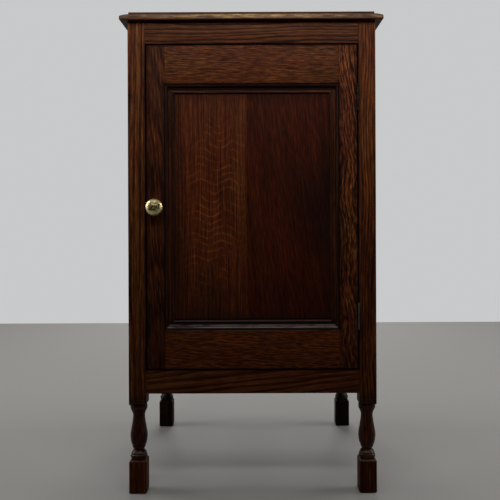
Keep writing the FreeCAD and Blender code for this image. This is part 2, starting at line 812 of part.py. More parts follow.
def hinge(name, centre_z):
    """A butt hinge: a leaf let into the post, a leaf let into the door, the pin and the screws."""
    z = widened((centre_z, centre_z), "hinge_length / 2")
    plate_y = ("front", "front + leaf_width")
    bore = cylinder(
        f"{name}_bore", "+z", ("hinge_x", "hinge_y", z[0]), "pin_diameter / 2 + pin_clearance", "hinge_length"
    )
    leaves = {"post": ("front_right_post", 1, "+x", 0), "door": ("door_right_stile", -1, "-x", 1)}
    screws = {}
    for leaf, (wood, sign, direction, first) in leaves.items():
        node = f"{name}_{leaf}_leaf"
        near = "leaf_play / 2"
        far = "leaf_play / 2 + leaf_thickness"
        low, high = outward(sign, near, far)
        x = (f"hinge_x + ({low})", f"hinge_x + ({high})")
        parts = [box(f"{node}_plate", x, plate_y, z)]
        for index in range(first, KNUCKLES_PER_HINGE, 2):
            bottom = f"{z[0]} + knuckle_length * {index} + knuckle_play / 2"
            top = f"{z[0]} + knuckle_length * {index + 1} - knuckle_play / 2"
            parts.append(box(f"{node}_tab_{index}", x, ("hinge_y", "front"), (bottom, top)))
            at = ("hinge_x", "hinge_y", bottom)
            length = "knuckle_length - knuckle_play"
            parts.append(cylinder(f"{node}_knuckle_{index}", "+z", at, "knuckle_diameter / 2", length))
        blank(node, fused(f"{node}_blank", parts))
        take_out(bore, node)
        recess = box(f"{node}_recess", widened(x, "leaf_clearance"), plate_y, widened(z, "leaf_clearance"))
        deeper_y = widened(plate_y, "leaf_clearance")
        deeper = box(f"{node}_recess_end", widened(x, "leaf_clearance"), deeper_y, z)
        take_out(fused(f"{node}_room", [recess, deeper]), wood)
        head_x = f"hinge_x + ({outward(sign, near, near)[0]})"
        screws[leaf] = []
        for index in range(SCREWS_PER_LEAF):
            height = f"{centre_z} + leaf_screw_spacing * {index - (SCREWS_PER_LEAF - 1) / 2}"
            at = (head_x, "front + leaf_width / 2", height)
            screws[leaf].append(screw(f"{node}_screw_{index}", direction, at, (node, wood)))
    at = ("hinge_x", "hinge_y", z[0])
    blank(f"{name}_pin", cylinder(f"{name}_pin_blank", "+z", at, "pin_diameter / 2", "hinge_length"))
    return screws


def hinges():
    """The two hinges, with all screws of the post in one node and all screws of the door in another."""
    upper = hinge("upper_hinge", "door_top - hinge_inset")
    lower = hinge("lower_hinge", "door_bottom + hinge_inset")
    for leaf in ("post", "door"):
        screws = upper[leaf] + lower[leaf]
        node = f"hinge_{leaf}_screws"
        blank(node, group(f"{node}_group", screws), len(screws))


def knob():
    """The turned knob: foot, neck and a mushroom head with a domed face, bored for the spindle."""
    face = "knob_projection - knob_dome"
    neck_top = "knob_foot_height + knob_neck_height"
    turned = (
        ("knob_neck_radius", neck_top, "knob_neck_bulge"),
        ("knob_face_radius", f"{face} - knob_rim", "knob_head_bulge"),
        ("knob_face_radius", face, "knob_rim_round"),
    )
    radius = "knob_foot_radius"
    depth = "knob_foot_height"
    corners = [("0", "-(knob_gap)"), (radius, "-(knob_gap)"), (radius, f"-({depth})")]
    for far_radius, far_depth, bulge in turned:
        across = f"({radius} + {far_radius}) / 2 + {bulge}"
        corners.append((far_radius, f"-({far_depth})", across, f"-({depth} + {far_depth}) / 2"))
        radius = far_radius
        depth = far_depth
    dome_centre = "knob_projection - knob_dome_radius"
    dome_rise = "sqrt(knob_dome_radius * knob_dome_radius - knob_face_radius * knob_face_radius / 4)"
    corners.append(("0", "-(knob_projection)", "knob_face_radius / 2", f"-({dome_centre} + {dome_rise})"))
    blank("knob", turning("knob_blank", "XY_Plane", corners, ("knob_x", "front", "knob_z")))
    bore_at = ("knob_x", "front - knob_bore_depth", "knob_z")
    bore_radius = "spindle_radius + fit_clearance"
    take_out(cylinder("knob_bore", "+y", bore_at, bore_radius, "knob_bore_depth"), "knob")


def latch():
    """The spindle through the door with its collar, the turning tongue behind the post, and the nut."""
    start = "front - knob_bore_depth + fit_clearance"
    at = ("knob_x", start, "knob_z")
    length = f"spindle_back - ({start})"
    blank("knob_spindle", cylinder("knob_spindle_blank", "+y", at, "spindle_radius", length))
    hole_at = ("knob_x", "front", "knob_z")
    hole = cylinder("spindle_hole", "+y", hole_at, "spindle_radius + spindle_clearance", "door_thickness")
    take_out(hole, "door_left_stile")
    eye = cylinder("latch_eye", "+y", hole_at, "spindle_radius + fit_clearance", "spindle_back - front")
    collar_at = ("knob_x", "door_back + latch_gap", "knob_z")
    collar_length = "tongue_front - door_back - latch_gap"
    collar = cylinder("spindle_collar_blank", "+y", collar_at, "collar_tube_radius", collar_length)
    blank("spindle_collar", collar)
    tongue_y = ("tongue_front", "tongue_back")
    half = "tongue_width / 2"
    tip_z = f"knob_z - (tongue_length) + {half}"
    bar = box("latch_tongue_bar", widened(("knob_x", "knob_x"), half), tongue_y, (tip_z, "knob_z"))
    ends = [
        cylinder(f"latch_tongue_end_{name}", "+y", ("knob_x", "tongue_front", z), half, "tongue_thickness")
        for name, z in (("eye", "knob_z"), ("tip", tip_z))
    ]
    blank("latch_tongue", fused("latch_tongue_blank", [bar] + ends))
    nut_x = widened(("knob_x", "knob_x"), "nut_width / 2")
    nut_z = widened(("knob_z", "knob_z"), "nut_width / 2")
    blank("latch_nut", box("latch_nut_blank", nut_x, ("tongue_back", "nut_back"), nut_z))
    take_out(eye, "spindle_collar", "latch_tongue", "latch_nut")


def finished_pieces():
    """Every node's solid with its joints cut, labelled with the node's name."""
    pieces = {}
    for node, item in blanks.items():
        if cuts[node]:
            item = cut(f"{node}_cut", item, fused(f"{node}_joints", cuts[node]))
        item.Label = node
        pieces[node] = item
    doc.recompute()
    return pieces


def check(pieces):
    """Stop if an object failed, a cut took nothing away, or a node isn't the solids that it should be."""
    for item in doc.Objects:
        if "Invalid" in item.State or "Error" in item.State:
            raise RuntimeError(f"{item.Label} failed: {item.State}")
        if item.TypeId == "Part::Cut" and item.Shape.Volume >= item.Base.Shape.Volume:
            raise RuntimeError(f"{item.Label} took nothing away")
    for node, item in pieces.items():
        shape = item.Shape
        if shape.isNull() or not shape.isValid() or len(shape.Solids) != solid_counts[node]:
            raise RuntimeError(f"{node} isn't {solid_counts[node]} whole solids")


def main():
    carcass_frame()
    top_board()
    back_panel()
    boards()
    dividers()
    glue_blocks()
    door_stop()
    door_frame()
    door_moulding()
    hinges()
    knob()
    latch()
    pieces = finished_pieces()
    check(pieces)
    os.makedirs("parts", exist_ok=True)
    for node, item in pieces.items():
        item.Shape.exportStep(f"parts/{node}.step")
    print(len(pieces), "nodes written")


main()
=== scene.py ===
import math

import bmesh
import bpy
from mathutils import Matrix, Vector, noise


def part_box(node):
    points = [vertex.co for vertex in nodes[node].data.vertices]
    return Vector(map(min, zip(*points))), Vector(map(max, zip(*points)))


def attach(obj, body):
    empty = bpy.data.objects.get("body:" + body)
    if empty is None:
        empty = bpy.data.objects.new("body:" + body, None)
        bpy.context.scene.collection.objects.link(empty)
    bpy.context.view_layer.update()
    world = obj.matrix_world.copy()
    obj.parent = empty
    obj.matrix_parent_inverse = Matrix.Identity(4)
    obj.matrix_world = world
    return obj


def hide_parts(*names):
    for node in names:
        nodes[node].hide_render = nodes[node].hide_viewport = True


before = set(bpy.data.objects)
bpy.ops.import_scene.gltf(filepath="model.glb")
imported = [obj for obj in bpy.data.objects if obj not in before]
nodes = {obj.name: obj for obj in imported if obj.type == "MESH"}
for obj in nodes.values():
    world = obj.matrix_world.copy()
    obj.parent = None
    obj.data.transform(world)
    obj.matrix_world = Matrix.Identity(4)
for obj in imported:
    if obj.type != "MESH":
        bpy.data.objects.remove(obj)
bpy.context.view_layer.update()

MM = 0.001

# Camera, worked out from the vanishing points and the carcass width
CAMERA_AT = (0.0114, -1.4048, 0.5287)
CAMERA_SENSOR = 36
CAMERA_LENS = 47.47
CAMERA_SHIFT = (-0.0164, -0.086)
CAMERA_ROLL = -0.22

# Turned leg, in millimetres from the top of the block foot: height, upper radius and bulge of each element
LEG_SEAT_RADIUS = 14.2
LEG_ELEMENTS = (
    (8.4, 14.9, 1),
    (0.6, 14.3, 0),
    (7.1, 10, 1),
    (1.6, 10, 0),
    (4, 12, -0.3),
    (4.1, 12.4, 0.2),
    (0.5, 13.1, 0),
    (9, 15.4, 0.4),
    (16.2, 15.2, 0.65),
    (26, 11, -0.3),
    (4, 11, 0),
    (11, 15.3, -0.5),
    (7.5, 15.3, 0.55),
)

# Places of the post centres, in metres
POST_CENTRE_X = 0.2126
POST_FRONT_Y = -0.1732
POST_REAR_Y = 0.2012

# Square lengths of the posts and their block feet, in millimetres
POST_HALF = 16
POST_CHAMFER = 3.5
POST_ARRIS = 0.8
FOOT_HEIGHT = 58.5
FOOT_CHAMFER = 3
FOOT_BEVEL = 2
FOOT_ARRIS = 1.2

# The rebate for the back in each rear post, in millimetres, and the height where it starts
REBATE_WIDTH = 8
REBATE_DEPTH = 6
REBATE_BOTTOM = 185

# Mesh of the posts: steps in a leg's element and round an arris, points along a side, spacing of the rings
ARC_STEPS = 8
CORNER_STEPS = 4
SIDE_MARKS = (-13, -10, -8, -5.2, -2.6, 0, 2.6, 5.2, 8, 10, 13)
POST_RING_STEP = 12
FOOT_RING_STEP = 10

# Arris, in millimetres, of the square whose points give the turned rings their angles
ROUND_ARRIS = 1.0

# Places of the leg's and the foot's wood among a post's materials
LEG_WOOD = 1
FOOT_WOOD = 2

# Boards, in metres: spacing of the stations along them, and their arrises
STATION_STEP = 0.012
END_ARRIS = 0.00025
RAIL_ARRIS = 0.0008
SIDE_PANEL_ARRIS = 0.0005
DOOR_PANEL_ARRIS = 0.0004

# Uneven wear of an arris: the share it adds or takes, and its fineness along and across a piece
ARRIS_WEAR = 0.5
ARRIS_WEAR_ALONG = 25
ARRIS_WEAR_ACROSS = 40

# Degrees between faces that meet in a sharp edge
SHARP_ANGLE = 35


class Graph:
    """Adds nodes to a tree. A value that isn't a socket is set on the input itself."""

    def __init__(self, tree):
        self.tree = tree

    def add(self, kind, inputs=(), **settings):
        node = self.tree.nodes.new(kind)
        for name, value in settings.items():
            setattr(node, name, value)
        for key, value in dict(inputs).items():
            self.feed(node.inputs[key], value)
        return node

    def feed(self, socket, value):
        if isinstance(value, bpy.types.NodeSocket):
            self.tree.links.new(value, socket)
        else:
            socket.default_value = value

    def math(self, operation, *values, clamp=False):
        return self.add("ShaderNodeMath", enumerate(values), operation=operation, use_clamp=clamp).outputs[0]

    def vector(self, operation, *values):
        return self.add("ShaderNodeVectorMath", enumerate(values), operation=operation)

    def split(self, vector):
        return self.add("ShaderNodeSeparateXYZ", {0: vector}).outputs

    def joined(self, x, y, z):
        return self.add("ShaderNodeCombineXYZ", {0: x, 1: y, 2: z}).outputs[0]

    def noise(self, vector, fineness, detail=2.0, roughness=0.5):
        """Noise with a fineness of its own along each axis."""
        scaled = self.vector("MULTIPLY", vector, fineness).outputs[0]
        inputs = {"Vector": scaled, "Scale": 1.0, "Detail": detail, "Roughness": roughness}
        return self.add("ShaderNodeTexNoise", inputs).outputs[0]

    def span(self, value, low, high, start=0.0, end=1.0):
        """The value's place between low and high, eased, as a number from start to end."""
        inputs = {"Value": value, 1: low, 2: high, 3: start, 4: end}
        return self.add("ShaderNodeMapRange", inputs, interpolation_type="SMOOTHSTEP").outputs[0]

    def mix(self, factor, first, second, blend="MIX"):
        inputs = {0: factor, 6: first, 7: second}
        return self.add("ShaderNodeMix", inputs, data_type="RGBA", blend_type=blend).outputs[2]

    def ramp(self, value, stops):
        node = self.add("ShaderNodeValToRGB", {0: value})
        elements = node.color_ramp.elements
        while len(elements) < len(stops):
            elements.new(0.5)
        for element, (position, colour) in zip(elements, stops):
            element.position = position
            element.color = (*colour, 1)
        return node.outputs[0]


FIGURE_INPUTS = ("Ring Width", "Rings", "Lines", "Dashes", "Mottle", "Wander")

# Fineness of the oak's figure, along the fibres and the two ways across them
WANDER_FINENESS = (1.6, 9, 9)
RIPPLE_FINENESS = (9, 45, 45)
LINE_FINENESS = (6, 340, 340)
DASH_FINENESS = (42, 500, 500)
MOTTLE_FINENESS = (7, 28, 28)
PORE_FINENESS = (70, 1500, 1500)
WARMTH_FINENESS = (4, 14, 14)

# Growth rings: fineness and strength of their uneven width, the shade through one ring and its middle
UNEVEN_FINENESS = (0.45, 1, 1)
UNEVENNESS = 1.5
RING_STOPS = ((0.0, 0.0), (0.1, 0.08), (0.38, 0.8), (0.85, 1.0), (1.0, 0.0))
RING_MIDDLE = 0.62

# Middle of a noise's values, and the shade that the figure is added to
NOISE_MIDDLE = 0.5
BASE_SHADE = 0.5

# Shares of the wander that bend the rings finely and lean the lines
RIPPLE_SHARE = 0.12
LEAN_SHARE = 0.4

# Pores: the noise where they start and are full, how far they go into the latewood, and their shade
PORE_LIMITS = (0.5, 0.66)
PORE_SPREAD = 1.2
PORE_SHADE = -0.12

# Heights of the pores and the lines in the relief of the grain
PORE_HEIGHT = -0.7
LINE_HEIGHT = 0.4


def figure_group():
    """Oak as a solid, in a space whose X runs along the fibres: a shade from dark to light and a height.

    It has growth rings round a pith, fine lines along the fibres, short dashes, pores and broad mottling.
    """
    tree = bpy.data.node_groups.new("oak_figure", "ShaderNodeTree")
    tree.interface.new_socket("Vector", in_out="INPUT", socket_type="NodeSocketVector")
    for name in FIGURE_INPUTS:
        tree.interface.new_socket(name, in_out="INPUT", socket_type="NodeSocketFloat")
    for name in ("Shade", "Height"):
        tree.interface.new_socket(name, in_out="OUTPUT", socket_type="NodeSocketFloat")
    g = Graph(tree)
    given = g.add("NodeGroupInput").outputs
    place = given["Vector"]
    along, across, depth = g.split(place)

    drift = g.math("MULTIPLY", g.noise(place, WANDER_FINENESS), given["Wander"])
    ripple = g.math("MULTIPLY", g.noise(place, RIPPLE_FINENESS), given["Wander"])
    bent = g.math("MULTIPLY_ADD", ripple, RIPPLE_SHARE, g.math("ADD", drift, across))
    distance = g.vector("LENGTH", g.joined(0.0, bent, depth)).outputs["Value"]
    turns = g.math("DIVIDE", distance, given["Ring Width"])
    uneven = g.noise(g.joined(turns, 0.0, 0.0), UNEVEN_FINENESS, detail=1.0)
    phase = g.math("FRACT", g.math("MULTIPLY_ADD", uneven, UNEVENNESS, turns))
    rings = g.ramp(phase, [(position, (grey,) * 3) for position, grey in RING_STOPS])
    leaning = g.joined(along, g.math("MULTIPLY_ADD", drift, LEAN_SHARE, across), depth)
    lines = g.noise(leaning, LINE_FINENESS, detail=1.0)
    dashes = g.noise(leaning, DASH_FINENESS, detail=1.0)
    mottle = g.noise(place, MOTTLE_FINENESS, detail=3.0)
    pore_field = g.span(g.noise(place, PORE_FINENESS, detail=1.0), *PORE_LIMITS)
    pores = g.math("MULTIPLY", pore_field, g.math("SUBTRACT", PORE_SPREAD, rings), clamp=True)

    shade = BASE_SHADE
    for field, middle, amount in (
        (rings, RING_MIDDLE, "Rings"),
        (lines, NOISE_MIDDLE, "Lines"),
        (dashes, NOISE_MIDDLE, "Dashes"),
        (mottle, NOISE_MIDDLE, "Mottle"),
    ):
        shade = g.math("MULTIPLY_ADD", g.math("SUBTRACT", field, middle), given[amount], shade)
    shade = g.math("MULTIPLY_ADD", pores, PORE_SHADE, shade, clamp=True)
    height = g.math("MULTIPLY_ADD", pores, PORE_HEIGHT, g.math("MULTIPLY", lines, LINE_HEIGHT))
    made = g.add("NodeGroupOutput")
    g.feed(made.inputs["Shade"], shade)
    g.feed(made.inputs["Height"], height)


# Dirt and painted shade in the joints and recesses of the front: along the door's edge and its gap, and in
# the planted moulding round its panel, where the dark bands over its hollows and round the panel's edge are
# painted shade.
# Each row: the sides that have it, distance in from the edge, half width of its core, reach, strength
DOOR_EDGE_DIRT_AND_SHADE = (
    ("all", 0.0, 0.0, 0.005, 1.0),
    ("sides", 0.0, 0.0, 0.011, 0.55),
)
MOULDING_DIRT_AND_SHADE = (
    ("all", 0.0, 0.0006, 0.0026, 0.95),
    ("all", 0.0165, 0.0, 0.026, 0.42),
    ("sides", 0.0, 0.0, 0.012, 0.55),
    ("sides", 0.0165, 0.0, 0.003, 0.6),
    ("top", 0.0022, 0.001, 0.0024, 0.65),
    ("top", 0.0074, 0.0026, 0.0042, 1.0),
    ("top", 0.0172, 0.001, 0.0022, 0.9),
    ("bottom", 0.0012, 0.001, 0.0016, 1.0),
    ("bottom", 0.0051, 0.0003, 0.001, 0.6),
    ("bottom", 0.0108, 0.0022, 0.003, 1.0),
    ("bottom", 0.0176, 0.0012, 0.0026, 0.9),
)
GRIME_AND_SHADE_FINENESS = (16, 16, 16)

# Half the gap round the door, and how far inside the panel's faces the dirt and painted shade start and end,
# in metres
DOOR_GAP_MIDDLE = 0.001
PANEL_FACE_MARGIN = 0.002


def joint_dirt_and_shade_group():
    """How much dirt and painted shade a point of the front gets from the joints near it, from 1 at the joint
    to 0.
    """
    tree = bpy.data.node_groups.new("joint_dirt_and_shade", "ShaderNodeTree")
    tree.interface.new_socket("Vector", in_out="INPUT", socket_type="NodeSocketVector")
    tree.interface.new_socket("Dirt and shade", in_out="OUTPUT", socket_type="NodeSocketFloat")
    g = Graph(tree)
    place = g.add("NodeGroupInput").outputs["Vector"]
    x, y, z = g.split(place)
    grime_and_shade = g.noise(place, GRIME_AND_SHADE_FINENESS, detail=3.0)
    panel_low, panel_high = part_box("door_panel_left_board")
    front = g.span(y, panel_low.y + PANEL_FACE_MARGIN, panel_high.y - PANEL_FACE_MARGIN, 1.0, 0.0)
    gap = Vector((DOOR_GAP_MIDDLE, 0, DOOR_GAP_MIDDLE))
    door_edge = (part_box("door_left_stile")[0] - gap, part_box("door_right_stile")[1] + gap)
    opening = (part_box("door_bottom_moulding")[0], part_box("door_top_moulding")[1])
    worst = 0.0
    for (low, high), rows in ((door_edge, DOOR_EDGE_DIRT_AND_SHADE), (opening, MOULDING_DIRT_AND_SHADE)):
        centre = (low + high) / 2
        for where, offset, core, reach, strength in rows:
            half = (high - low) / 2 - Vector((offset, 0, offset))
            side = g.math("SUBTRACT", g.math("ABSOLUTE", g.math("SUBTRACT", x, centre.x)), half.x)
            above = g.math("SUBTRACT", z, centre.z)
            if where == "top":
                level = g.math("SUBTRACT", above, half.z)
            elif where == "bottom":
                level = g.math("SUBTRACT", g.math("MULTIPLY", above, -1.0), half.z)
            else:
                level = g.math("SUBTRACT", g.math("ABSOLUTE", above), half.z)
            if where == "all":
                away = g.math("ABSOLUTE", g.math("MAXIMUM", side, level))
            elif where == "sides":
                away = g.math("MAXIMUM", g.math("ABSOLUTE", side), level)
            else:
                away = g.math("MAXIMUM", side, g.math("ABSOLUTE", level))
            ragged = g.math("MULTIPLY_ADD", grime_and_shade, reach - core, (reach + core) / 2)
            worst = g.math("MAXIMUM", g.span(away, core, ragged, strength, 0.0), worst)
    made = g.add("NodeGroupOutput")
    g.feed(made.inputs["Dirt and shade"], g.math("MULTIPLY", worst, front))


# Axes along the fibres and the two ways across them, for each direction of the grain
GRAIN_ORDER = {"x": (0, 2, 1), "y": (1, 2, 0), "z": (2, 0, 1)}

# Stops of the stained oak's colour, from the open pores to the barest latewood
OAK_STOPS = (
    (0.0, (0.004, 0.0013, 0.0008)),
    (0.3, (0.016, 0.0044, 0.0015)),
    (0.52, (0.038, 0.0109, 0.0033)),
    (0.78, (0.078, 0.0265, 0.0074)),
    (1.0, (0.14, 0.056, 0.0145)),
)

# Tints that change from patch to patch, then dirt and painted shade, wear and painted highlights, and a
# painted sheen
RED_TINT = (1.02, 0.9, 0.86)
GOLD_TINT = (0.98, 1.06, 0.98)
WARMTH_LIMITS = (0.35, 0.65)
DIRT_AND_SHADE_COLOUR = (0.003, 0.0016, 0.0014, 1)
WORN_AND_HIGHLIGHT_COLOUR = (0.13, 0.1, 0.07, 1)
PAINTED_SHEEN_COLOUR = (0.22, 0.155, 0.135, 1)

# Distance along the fibres, in metres, between the figures of two seeds
SEED_STRIDE = 1.37

# Ragged edges of stains, and of wear and painted highlights
STAIN_FINENESS = (30, 30, 20)
STAIN_RAGGEDNESS = 0.5
STAIN_CORE = 0.2
WEAR_AND_HIGHLIGHT_FINENESS = (30, 30, 200)
WEAR_AND_HIGHLIGHT_LIMITS = (0.25, 0.55)

# Roughness that dark wood and the dirt and painted shade add and pale wood loses, and the relief of the grain
DARK_MATT = 0.1
PALE_SHINE = 0.06
DIRT_AND_SHADE_MATT = 0.4
GRAIN_RELIEF = {"Strength": 0.25, "Distance": 0.0004}


def oak(
    name,
    grain,
    tone=(1.0, 1.0, 1.0),
    ring=0.0055,
    rings=0.3,
    lines=0.9,
    dashes=0.6,
    mottle=0.4,
    wander=0.05,
    turn=(0, 0, 0),
    stretch=(1, 1, 1),
    pith=(0.12, 0.04),
    seed=0.0,
    dirt_and_shade=1.0,
    gloss=0.04,
    roughness=0.5,
    flecks=None,
    stains=(),
    grime_and_shade=(),
    wear_and_highlights=(),
    worn=WORN_AND_HIGHLIGHT_COLOUR,
):
    """Dark stained oak with its fibres along one axis, turned a little off that axis in degrees."""
    material = bpy.data.materials.new(name)
    material.use_nodes = True
    g = Graph(material.node_tree)
    shader = material.node_tree.nodes["Principled BSDF"]
    place = g.add("ShaderNodeTexCoord").outputs["Object"]
    parts = g.split(place)
    height = parts[2]
    mapping = {
        "Vector": g.joined(*[parts[index] for index in GRAIN_ORDER[grain]]),
        "Location": (seed * SEED_STRIDE, *pith),
        "Rotation": [math.radians(angle) for angle in turn],
        "Scale": stretch,
    }
    mapped = g.add("ShaderNodeMapping", mapping).outputs[0]
    figure = g.add("ShaderNodeGroup", {0: mapped}, node_tree=bpy.data.node_groups["oak_figure"])
    for key, value in zip(FIGURE_INPUTS, (ring, rings, lines, dashes, mottle, wander)):
        g.feed(figure.inputs[key], value)
    shade = figure.outputs["Shade"]
    if flecks:
        shade = g.math("ADD", shade, ray_flecks(g, place, *flecks), clamp=True)
    colour = g.ramp(shade, OAK_STOPS)
    warmth = g.span(g.noise(mapped, WARMTH_FINENESS), *WARMTH_LIMITS)
    red, gold = [(*[a * b for a, b in zip(tint, tone)], 1) for tint in (RED_TINT, GOLD_TINT)]
    colour = g.mix(1.0, colour, g.mix(warmth, red, gold), "MULTIPLY")
    for x, z, half_width, half_height, strength in stains:
        off = g.vector("SUBTRACT", place, (x, 0.0, z)).outputs[0]
        off = g.vector("MULTIPLY", off, (1 / half_width, 0.0, 1 / half_height)).outputs[0]
        uneven = g.noise(place, STAIN_FINENESS, detail=3.0)
        ragged = g.math("MULTIPLY_ADD", uneven, STAIN_RAGGEDNESS, -STAIN_RAGGEDNESS / 2)
        away = g.math("ADD", g.vector("LENGTH", off).outputs["Value"], ragged)
        colour = g.mix(g.span(away, STAIN_CORE, 1.0, strength, 0.0), colour, DIRT_AND_SHADE_COLOUR)
    # Darker towards the floor: partly grime, partly painted shade
    for low, high, strength in grime_and_shade:
        colour = g.mix(g.span(height, low, high, strength, 0.0), colour, DIRT_AND_SHADE_COLOUR)
    # Pale bands: wear, and painted highlights and a painted sheen on crests where the light catches
    for level, reach, strength in wear_and_highlights:
        away = g.math("ABSOLUTE", g.math("SUBTRACT", height, level))
        patches = g.span(g.noise(place, WEAR_AND_HIGHLIGHT_FINENESS, detail=3.0), *WEAR_AND_HIGHLIGHT_LIMITS)
        worn_and_highlit = g.math("MULTIPLY", patches, g.span(away, 0.0, reach, strength, 0.0))
        colour = g.mix(worn_and_highlit, colour, worn)
    matt = g.span(shade, 0.0, 1.0, roughness + DARK_MATT, roughness - PALE_SHINE)
    # Dirt and painted shade from the joints and recesses of the front, which also make the wood more matt
    if dirt_and_shade:
        joints = g.add("ShaderNodeGroup", {0: place}, node_tree=bpy.data.node_groups["joint_dirt_and_shade"])
        dirt_and_shade_share = g.math("MULTIPLY", joints.outputs[0], dirt_and_shade)
        colour = g.mix(dirt_and_shade_share, colour, DIRT_AND_SHADE_COLOUR)
        matt = g.math("MULTIPLY_ADD", dirt_and_shade_share, DIRT_AND_SHADE_MATT, matt, clamp=True)
    g.feed(shader.inputs["Roughness"], matt)
    g.feed(shader.inputs["Base Color"], colour)
    shader.inputs["Specular IOR Level"].default_value = gloss
    bump = g.add("ShaderNodeBump", {**GRAIN_RELIEF, "Height": figure.outputs["Height"]})
    g.feed(shader.inputs["Normal"], bump.outputs[0])
    return material


# Bows of ray fleck: spacing up the board, where in it they show, width, rise, sway and lean of their axis
FLECK_SPACING = 0.0142
FLECK_BAND = (0.27, 0.49)
FLECK_WIDTH = 0.056
FLECK_RISE = 0.0065
FLECK_SWAY = 0.02
FLECK_LEAN = 0.09
FLECK_SWAY_FINENESS = (6, 6, 11)

# How the bows are broken up: by shifts, by pores and in patches
FLECK_SHIFT = 2.1
FLECK_SHIFT_FINENESS = (24, 24, 14)
FLECK_PORE_FINENESS = (380, 380, 9)
FLECK_PORES = (0.38, 0.6, 0.35, 1.0)
FLECK_PATCH_FINENESS = (42, 42, 60)
FLECK_PATCHES = (0.34, 0.6)

# How they fade sideways and up and down: distances where it starts and ends, strengths there
FLECK_SIDEWAYS = (0.02, 0.06, 1.0, 0.35)
FLECK_UPWARDS = (0.08, 0.2, 1.0, 0.12)


def ray_flecks(g, place, axis, middle, strength):
    """Pale thin bows of ray fleck, one over another, lowest on an axis that leans a little."""
    x, _, z = g.split(place)
    above = g.math("SUBTRACT", z, middle)
    sway = g.noise(place, FLECK_SWAY_FINENESS, detail=1.0)
    swayed = g.math("MULTIPLY_ADD", sway, FLECK_SWAY, x)
    leaning = g.math("MULTIPLY_ADD", above, FLECK_LEAN, axis + FLECK_SWAY / 2)
    off = g.math("SUBTRACT", swayed, leaning)
    wave = g.math("COSINE", g.math("MULTIPLY", off, math.tau / FLECK_WIDTH))
    level = g.math("MULTIPLY_ADD", wave, FLECK_RISE, z)
    shift = g.noise(place, FLECK_SHIFT_FINENESS, detail=3.0)
    turns = g.math("MULTIPLY_ADD", shift, FLECK_SHIFT, g.math("DIVIDE", level, FLECK_SPACING))
    shown = g.span(g.math("PINGPONG", turns, 0.5), *FLECK_BAND)
    for share in (
        g.span(g.noise(place, FLECK_PORE_FINENESS, detail=1.0), *FLECK_PORES),
        g.span(g.noise(place, FLECK_PATCH_FINENESS, detail=3.0, roughness=0.6), *FLECK_PATCHES),
        g.span(g.math("ABSOLUTE", off), *FLECK_SIDEWAYS),
        g.span(g.math("ABSOLUTE", above), *FLECK_UPWARDS),
    ):
        shown = g.math("MULTIPLY", shown, share)
    return g.math("MULTIPLY", shown, strength)


# The top board's worn edge: reach in from the edge, height up it, and the patches where it is barest
TOP_RIM = (0.004, 0.014)
TOP_LIP = (0.001, 0.004)
TOP_PATCH_FINENESS = (24, 80, 150)
TOP_PATCHES = (0.32, 0.62)
TOP_PATCH_SHARE = 0.65

# Hue of its bare wood: fineness, shift from the ends to the middle with its sway, and the colours
BARE_FINENESS = (34, 60, 190)
BARE_SHIFT = (0.06, 0.26, -0.12, 0.1)
BARE_SHIFT_FINENESS = (7, 7, 7)
BARE_SHIFT_SWAY = 0.1
BARE_STOPS = (
    (0.3, (0.045, 0.03, 0.022)),
    (0.46, (0.11, 0.066, 0.04)),
    (0.58, (0.2, 0.12, 0.056)),
    (0.68, (0.3, 0.19, 0.075)),
    (0.8, (0.42, 0.34, 0.22)),
)


def worn_top():
    """The top board's oak, rubbed back along its rounded edge to tan wood that is greyer towards the ends."""
    straight = {"rings": 0.15, "lines": 0.7, "mottle": 0.15, "wander": 0.02, "pith": (-0.86, 0.6)}
    material = oak("oak_top_board", "x", turn=(0, 0, 1), seed=9.3, dirt_and_shade=0, **straight)
    g = Graph(material.node_tree)
    shader = material.node_tree.nodes["Principled BSDF"]
    stained = shader.inputs["Base Color"].links[0].from_socket
    place = g.add("ShaderNodeTexCoord").outputs["Object"]
    x, y, z = g.split(place)
    low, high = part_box("top_board")
    ends = g.math("SUBTRACT", high.x, g.math("ABSOLUTE", x))
    edge = g.math("MINIMUM", ends, g.math("SUBTRACT", y, low.y))
    rim = g.span(edge, *TOP_RIM, 1.0, 0.0)
    upper = g.span(z, *[low.z + level for level in TOP_LIP])
    patches = g.span(g.noise(place, TOP_PATCH_FINENESS, detail=4.0, roughness=0.7), *TOP_PATCHES)
    patches = g.math("MULTIPLY_ADD", patches, TOP_PATCH_SHARE, 1 - TOP_PATCH_SHARE)
    worn = g.math("MULTIPLY", g.math("MULTIPLY", rim, upper), patches)
    hue = g.noise(place, BARE_FINENESS, detail=4.0, roughness=0.7)
    swayed = g.math("MULTIPLY_ADD", g.noise(place, BARE_SHIFT_FINENESS), BARE_SHIFT_SWAY, ends)
    hue = g.math("ADD", hue, g.span(swayed, *BARE_SHIFT), clamp=True)
    g.feed(shader.inputs["Base Color"], g.mix(worn, stained, g.ramp(hue, BARE_STOPS)))
    return material


# Tarnish and scuffs of the metals
TARNISH_FINENESS = (160, 160, 160)
TARNISH_LIMITS = (0.35, 0.7)
SCUFF_FINENESS = (900, 900, 900)
SCUFF_MATT = 0.2
SCUFF_RELIEF = {"Strength": 0.1, "Distance": 0.0002}


